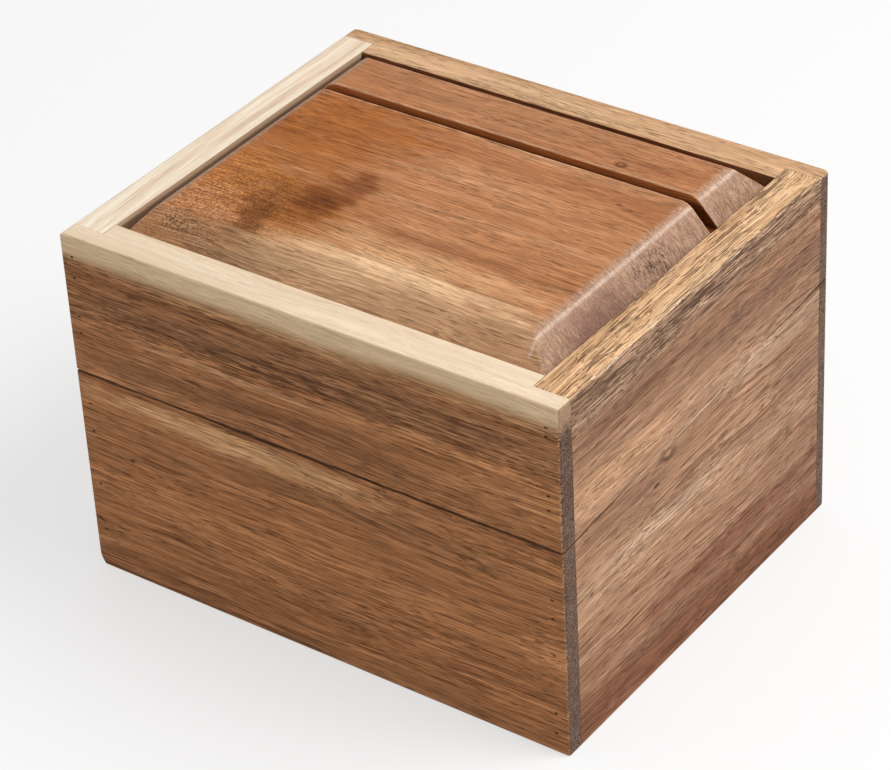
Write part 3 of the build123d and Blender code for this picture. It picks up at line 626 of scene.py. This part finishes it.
# Along the front and back shoulders, a pale line that follows the grain: partly wear on the crease, partly
# painted highlight.
crease_y = calc(tree, "SUBTRACT", calc(tree, "ABSOLUTE", panel.y), panel_high.y - shoulder_from_edge)
crease_y = calc(tree, "ABSOLUTE", crease_y)
crease_highlight_and_wear = times(tree, stretch(tree, crease_y, 0.7, 0.1), stretch(tree, panel.lines, 0.4, 0.8))
crease_highlight_and_wear = times(tree, crease_highlight_and_wear, near_field)
panel.tint(times(tree, crease_highlight_and_wear, 0.35), (0.66, 0.46, 0.3, 1))
from_slot = calc(tree, "ABSOLUTE", calc(tree, "SUBTRACT", panel.y, slot_middle))
slot_floor = field_top - slot_depth
above_slot_floor = stretch(tree, panel.z, slot_floor - 1.7, slot_floor - 0.4)
# Painted highlight, partly a worn arris: a pale line along both top edges of the slot.
slot_arris = calc(tree, "ABSOLUTE", calc(tree, "SUBTRACT", from_slot, slot_half_width + 0.4))
slot_arris = times(tree, stretch(tree, slot_arris, 0.5, 0.2), 0.4)
panel.tint(times(tree, slot_arris, above_slot_floor), (0.7, 0.46, 0.3, 1))
# Painted light and shade on the slot's walls: lit red-brown near the top, going to near black towards the
# floor.
in_slot = times(tree, stretch(tree, from_slot, slot_half_width + 0.2, slot_half_width), above_slot_floor)
down_slot = stretch(tree, panel.z, field_top, field_top - 4.0)
slot_wall_light_and_shade = ((0.0, 0.57, 0.2, 0.06), (0.5, 0.5, 0.165, 0.042), (0.85, 0.14, 0.03, 0.002))
panel.tint(times(tree, in_slot, 0.95), colour_steps(tree, down_slot, slot_wall_light_and_shade))
panel.bare_inside = 0.0
panel.streaks = calmed(tree, 0.5, panel.streaks)
calm = calc(tree, "MAXIMUM", side_bevel, in_slot)
panel.lines = calmed(tree, times(tree, calm, 0.85), panel.lines)
panel.pores = times(tree, panel.pores, stretch(tree, calm, 0.0, 1.0, 1.0, 0.2))
panel.finish(("lid_raised_panel",), pore_depth=0.45, lines=0.45, fibre=0.26, roughness=0.44)


# Brads. Short pieces of flat steel wire, punched in below the surface, where they have gone dark
# and a little rusty.

rusty = bpy.data.materials.new("brad_steel")
rusty.use_nodes = True
tree = rusty.node_tree
metal = tree.nodes["Principled BSDF"]
spread = add_node(tree, "ShaderNodeTexCoord").outputs["Object"]
rust = noise(tree, spread, (2500.0,) * 3, 4.0, 0.6)
steel = colour_steps(tree, rust, ((0.4, 0.11, 0.1, 0.09), (0.6, 0.1, 0.05, 0.028)))
tree.links.new(steel, metal.inputs["Base Color"])
tree.links.new(stretch(tree, rust, 0.4, 0.6, 0.85, 0.2), metal.inputs["Metallic"])
tree.links.new(stretch(tree, rust, 0.4, 0.6, 0.4, 0.75), metal.inputs["Roughness"])
side_brads = ("base_front_brads", "base_back_brads", "lid_front_brads", "lid_back_brads")
dress(side_brads + ("bottom_panel_brads",), rusty)


# Stop hinges. Stamped brass leaves with rolled knuckles, a brass pin, and heels that meet behind the
# barrel. The brass is drawn along the barrel, and has dulled in patches.

def brass_material(name, polish):
    """Brass with fine draw marks along the barrel and brown tarnish in patches."""
    material = bpy.data.materials.new(name)
    material.use_nodes = True
    tree = material.node_tree
    metal = tree.nodes["Principled BSDF"]
    spread = add_node(tree, "ShaderNodeTexCoord").outputs["Object"]
    drawn = noise(tree, spread, (300.0, 9000.0, 9000.0), 3.0, 0.6)
    patches = noise(tree, spread, (220.0, 220.0, 220.0), 5.0, 0.65)
    tarnish = stretch(tree, patches, 0.45, 0.68)
    brass = colour_steps(tree, drawn, ((0.3, 0.5, 0.33, 0.12), (0.7, 0.66, 0.46, 0.19)))
    tree.links.new(blend_colour(tree, tarnish, brass, (0.24, 0.14, 0.055, 1)), metal.inputs["Base Color"])
    metal.inputs["Metallic"].default_value = 1.0
    dull = calc(tree, "MULTIPLY_ADD", tarnish, 0.22, stretch(tree, drawn, 0.3, 0.7, polish, polish + 0.14))
    tree.links.new(dull, metal.inputs["Roughness"])
    bump = add_node(tree, "ShaderNodeBump", {"Height": drawn, "Strength": 0.35, "Distance": 0.02 * mm})
    tree.links.new(bump.outputs[0], metal.inputs["Normal"])
    return material


leaf_brass = brass_material("leaf_brass", 0.28)
hinge_pieces = (
    "base_hinge_leaf_left",
    "base_hinge_leaf_right",
    "lid_hinge_leaf_left",
    "lid_hinge_leaf_right",
    "hinge_pin_left",
    "hinge_pin_right",
)
dress(hinge_pieces, leaf_brass)


# Hinge screws, small brass ones with a countersunk head and a cross recess. Two hold each leaf, and
# their points run into the edge of the board behind it.

screw_brass = brass_material("screw_brass", 0.2)
cut_slant = math.atan2(cut_back - cut_front, back_y - front_y)
along_cut = Vector((0.0, math.cos(cut_slant), math.sin(cut_slant)))
off_cut = Vector((0.0, -math.sin(cut_slant), math.cos(cut_slant)))
screw_head = 2.0
screw_core = 0.78
thread_crest = 0.98
thread_pitch = 0.9
thread_turns = 7
screw_length = 9.3
countersink_depth = 1.2
head_rim = 0.15
recess_depth = 0.9
recess_arm = 0.28
recess_reach = 1.05
point_length = 1.6
point_radius = 0.12
thread_root = screw_core - 0.06
thread_flank = 0.12
thread_flat = 0.06
plain_neck = 0.5
sides_of_screw = 32
steps_in_turn = 16
hinge_from_middle = 56.075
screw_from_hinge_middle = 7.5
screw_from_back = 4.7
half_closing_gap = 0.15


def brass_screw():
    """One screw as a mesh in millimetres, its head at the origin and its point downwards."""
    made = bmesh.new()
    bmesh.ops.create_circle(made, radius=screw_head, segments=sides_of_screw)
    rim_edges = list(made.edges)
    corners = [(recess_arm, recess_reach), (recess_arm, recess_arm), (recess_reach, recess_arm)]
    cross = []
    for quarter in range(4):
        for x, y in corners:
            for _ in range(quarter):
                x, y = y, -x
            cross.append(made.verts.new((x, y, 0.0)))
    cross_edges = [made.edges.new((cross[i - 1], cross[i])) for i in range(len(cross))]
    bmesh.ops.triangle_fill(made, edges=rim_edges + cross_edges, use_beauty=True)
    pushed_in = bmesh.ops.extrude_edge_only(made, edges=cross_edges)["geom"]
    floor_verts = [part for part in pushed_in if isinstance(part, bmesh.types.BMVert)]
    floor_edges = [part for part in pushed_in if isinstance(part, bmesh.types.BMEdge)]
    bmesh.ops.scale(made, verts=floor_verts, vec=(0.5, 0.5, 1.0))
    bmesh.ops.translate(made, verts=floor_verts, vec=(0.0, 0.0, -recess_depth))
    bmesh.ops.triangle_fill(made, edges=floor_edges, use_beauty=True)
    below = rim_edges
    radius = screw_head
    depth = 0.0
    for next_radius, next_depth in (
        (screw_head, head_rim),
        (screw_core, countersink_depth),
        (screw_core, screw_length - point_length),
        (point_radius, screw_length),
    ):
        grown = bmesh.ops.extrude_edge_only(made, edges=below)["geom"]
        ring = [part for part in grown if isinstance(part, bmesh.types.BMVert)]
        below = [part for part in grown if isinstance(part, bmesh.types.BMEdge)]
        bmesh.ops.scale(made, verts=ring, vec=(next_radius / radius, next_radius / radius, 1.0))
        bmesh.ops.translate(made, verts=ring, vec=(0.0, 0.0, depth - next_depth))
        radius = next_radius
        depth = next_depth
    bmesh.ops.contextual_create(made, geom=below)
    start = -countersink_depth - plain_neck
    crest_start = start - thread_flank
    crest_end = crest_start - thread_flat
    tooth = [
        made.verts.new((thread_root, 0.0, start)),
        made.verts.new((thread_crest, 0.0, crest_start)),
        made.verts.new((thread_crest, 0.0, crest_end)),
        made.verts.new((thread_root, 0.0, crest_end - thread_flank)),
    ]
    outline = [made.edges.new((tooth[i - 1], tooth[i])) for i in range(len(tooth))]
    made.faces.new(tooth)
    steps = steps_in_turn * thread_turns
    last = bmesh.ops.spin(
        made,
        geom=tooth + outline,
        cent=(0.0, 0.0, 0.0),
        axis=(0.0, 0.0, 1.0),
        dvec=(0.0, 0.0, -thread_pitch * thread_turns / steps),
        angle=2 * math.pi * thread_turns,
        steps=steps,
        use_merge=False,
    )["geom_last"]
    made.faces.new([part for part in last if isinstance(part, bmesh.types.BMVert)])
    bmesh.ops.recalc_face_normals(made, faces=made.faces)
    return made


def set_in_screws(name, body, node, side):
    """The four screws of one body's leaves; side is -1 for the base and 1 for the lid."""
    joined = bmesh.new()
    for hinge_x in (-hinge_from_middle, hinge_from_middle):
        for along in (-screw_from_hinge_middle, screw_from_hinge_middle):
            one = brass_screw()
            seat = Vector((hinge_x + along, back_y, cut_back)) - along_cut * screw_from_back
            seat += off_cut * side * half_closing_gap
            facing = off_cut * -side
            across = facing.cross(Vector((1.0, 0.0, 0.0)))
            turn = Matrix((Vector((1.0, 0.0, 0.0)), across, facing)).transposed()
            where_it_stopped = math.radians(23.0 * along + hinge_x)
            turn = turn @ Matrix.Rotation(where_it_stopped, 3, "Z")
            bmesh.ops.transform(one, matrix=Matrix.Translation(seat) @ turn.to_4x4(), verts=one.verts)
            bmesh.ops.scale(one, verts=one.verts, vec=(mm,) * 3)
            part = bpy.data.meshes.new("screw")
            one.to_mesh(part)
            one.free()
            joined.from_mesh(part)
            bpy.data.meshes.remove(part)
    mesh = bpy.data.meshes.new(name)
    joined.to_mesh(mesh)
    joined.free()
    mesh.materials.append(screw_brass)
    piece = bpy.data.objects.new(name, mesh)
    bpy.context.scene.collection.objects.link(piece)
    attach(piece, body)
    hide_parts(node)


set_in_screws("base_hinge_screws", "base", "base_leaf_screws", -1)
set_in_screws("lid_hinge_screws", "lid", "lid_leaf_screws", 1)


# Studio. A plain white floor and surroundings, one large soft lamp from the right and behind, and
# light from all round. The camera stands at the height and side the box is photographed from.

def soft_lamp(name, across, watts, stand, aim):
    """A round soft lamp, so many metres across, turned to what it lights."""
    light = bpy.data.lights.new(name, "AREA")
    light.shape = "DISK"
    light.size = across
    light.energy = watts
    lamp = bpy.data.objects.new(name, light)
    bpy.context.scene.collection.objects.link(lamp)
    lamp.location = stand
    lamp.rotation_mode = "QUATERNION"
    lamp.rotation_quaternion = (Vector(aim) - Vector(stand)).to_track_quat("-Z", "Y")


box_middle = Vector((0.0, 0.0, 0.06))
soft_lamp("key_lamp", across=0.9, watts=17.0, stand=(0.85, 0.3, 1.25), aim=box_middle)

studio = bpy.data.worlds.new("studio")
bpy.context.scene.world = studio
studio.use_nodes = True
air = studio.node_tree
air.nodes.clear()
rays = add_node(air, "ShaderNodeLightPath")
all_round = add_node(air, "ShaderNodeBackground", {"Color": (1, 1, 1, 1), "Strength": 0.6})
backdrop = add_node(air, "ShaderNodeBackground", {"Color": (1, 1, 1, 1), "Strength": 1.0})
shown = calc(air, "MAXIMUM", rays.outputs["Is Camera Ray"], rays.outputs["Is Glossy Ray"])
seen = add_node(air, "ShaderNodeMixShader", {0: shown, 1: all_round.outputs[0], 2: backdrop.outputs[0]})
add_node(air, "ShaderNodeOutputWorld", {"Surface": seen.outputs[0]})

floor_mesh = bpy.data.meshes.new("floor")
sheet = bmesh.new()
bmesh.ops.create_circle(sheet, cap_ends=True, radius=3.0, segments=64)
sheet.to_mesh(floor_mesh)
sheet.free()
floor = bpy.data.objects.new("floor", floor_mesh)
bpy.context.scene.collection.objects.link(floor)
paper = bpy.data.materials.new("white_floor")
paper.use_nodes = True
paper_tree = paper.node_tree
paper_tree.nodes.clear()
rays = add_node(paper_tree, "ShaderNodeLightPath")
matt = add_node(paper_tree, "ShaderNodeBsdfDiffuse", {"Color": (0.84, 0.84, 0.84, 1)})
white = add_node(paper_tree, "ShaderNodeEmission", {"Color": (1, 1, 1, 1), "Strength": 1.0})
shown = calc(paper_tree, "MAXIMUM", rays.outputs["Is Camera Ray"], rays.outputs["Is Glossy Ray"])
share = times(paper_tree, shown, 0.6)
laid = add_node(paper_tree, "ShaderNodeMixShader", {0: share, 1: matt.outputs[0], 2: white.outputs[0]})
add_node(paper_tree, "ShaderNodeOutputMaterial", {"Surface": laid.outputs[0]})
floor_mesh.materials.append(paper)

camera_side = math.radians(37.1)
camera_height = math.radians(34.2)
camera_tilt = math.radians(-3.26)
camera_distance = 1.092
camera_aim = Vector((-0.0044, 0.0, 0.0569))
backward = Vector((
    math.sin(camera_side) * math.cos(camera_height),
    -math.cos(camera_side) * math.cos(camera_height),
    math.sin(camera_height),
))
level = Vector((math.cos(camera_side), math.sin(camera_side), 0.0))
upward = backward.cross(level)
turned_right = level * math.cos(camera_tilt) + upward * math.sin(camera_tilt)
turned_up = upward * math.cos(camera_tilt) - level * math.sin(camera_tilt)
lens = bpy.data.cameras.new("camera")
lens.lens = 137.9
camera = bpy.data.objects.new("camera", lens)
bpy.context.scene.collection.objects.link(camera)
camera.matrix_world = Matrix.Translation(camera_aim + backward * camera_distance) @ Matrix(
    (turned_right, turned_up, backward)
).transposed().to_4x4()
bpy.context.scene.camera = camera
bpy.context.scene.view_settings.view_transform = "Standard"
